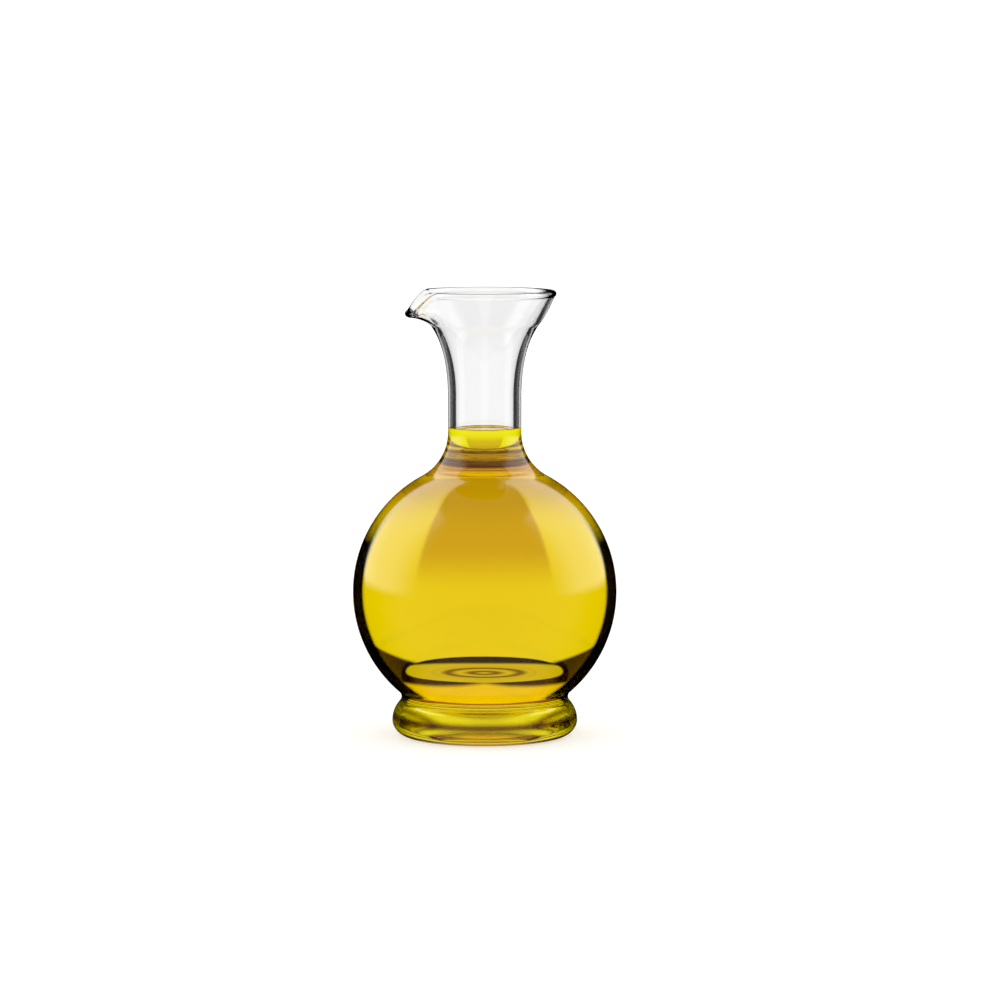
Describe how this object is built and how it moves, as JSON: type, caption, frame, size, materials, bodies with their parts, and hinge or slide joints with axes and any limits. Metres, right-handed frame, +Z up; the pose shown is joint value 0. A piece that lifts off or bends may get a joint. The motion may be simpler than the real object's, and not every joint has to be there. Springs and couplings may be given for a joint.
{
  "type": "oil carafe",
  "caption": "Round clear glass carafe on a foot, with a slim neck, flared rim and drawn pouring spout, filled with golden olive oil to the middle of the neck.",
  "frame": {"origin": "middle of the resting ring, on the surface that the carafe stands on", "axes": "+Z up along the axis of the neck, -X towards the spout, +Y to the side"},
  "size_m": [0.107, 0.107, 0.181],
  "materials": {
    "clear_glass": "clear blown glass, fire-polished and smooth",
    "golden_oil": "clear golden yellow oil"
  },
  "bodies": {
    "root": {"carafe_glass": "clear_glass", "olive_oil": "golden_oil"}
  },
  "joints": []
}
